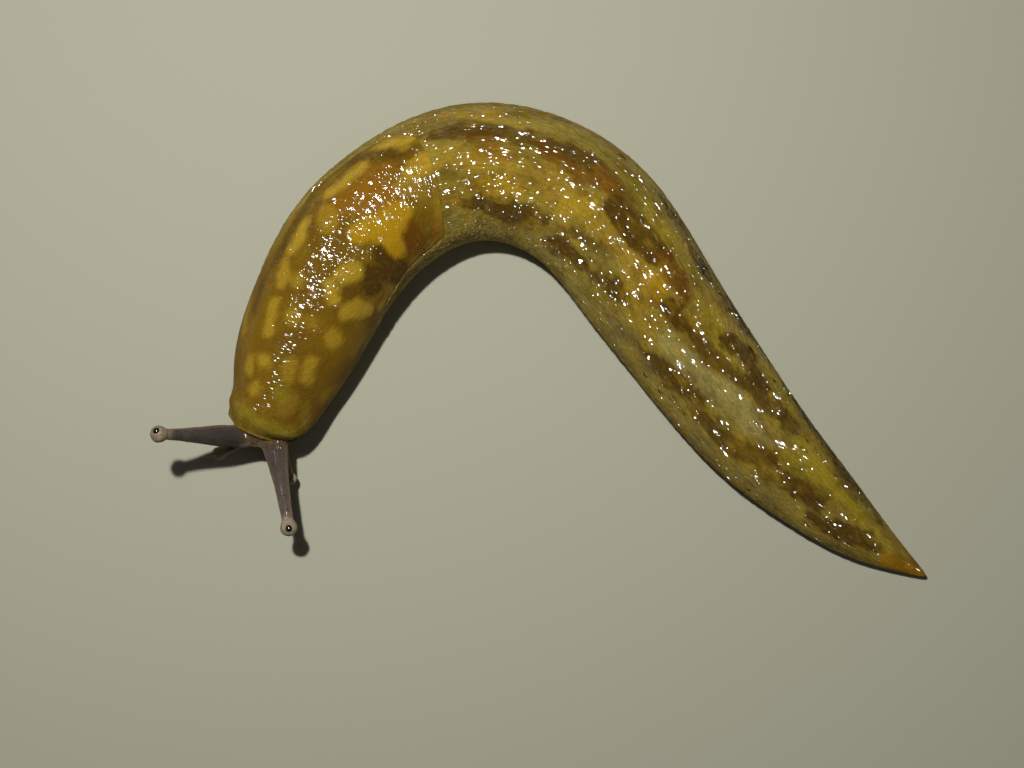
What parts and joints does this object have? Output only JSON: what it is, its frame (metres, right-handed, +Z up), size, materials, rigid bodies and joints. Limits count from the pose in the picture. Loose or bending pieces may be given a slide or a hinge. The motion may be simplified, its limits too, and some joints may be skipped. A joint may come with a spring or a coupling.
{
  "type": "cellar slug",
  "caption": "Life-size still model of a cellar slug crawling in a C-shaped bend, with its four feelers out, for display on a flat surface.",
  "frame": {"origin": "middle of the bottom of the bounding box, on the surface the sole lies on", "axes": "+Z up, square to the sole; +X towards the tail along the longest side of the box, with the head at -X"},
  "size_m": [0.0712, 0.0443, 0.0102],
  "materials": {
    "body_skin": "wet, ochre and dark brown, in lengthwise rows of long tubercles",
    "mantle_skin": "wet, orange-brown with yellow blotches and fine ridges",
    "head_skin": "wet, grey-brown and finely grained",
    "feeler_skin": "wet, grey-violet and finely grained",
    "foot_skin": "wet, pale yellowish sole",
    "eye": "glossy black"
  },
  "bodies": {
    "root": {"head": "head_skin", "tentacle_upper_right": "feeler_skin", "tentacle_upper_left": "feeler_skin", "tentacle_lower_right": "feeler_skin", "tentacle_lower_left": "feeler_skin", "eye_right": "eye", "eye_left": "eye", "mantle": "mantle_skin", "neck": "body_skin", "body_fore": "body_skin", "body_arch": "body_skin", "body_mid": "body_skin", "body_rear": "body_skin", "tail": "body_skin", "foot_front": "foot_skin", "foot_fore": "foot_skin", "foot_arch": "foot_skin", "foot_mid": "foot_skin", "foot_rear": "foot_skin", "foot_tail": "foot_skin"}
  },
  "joints": []
}
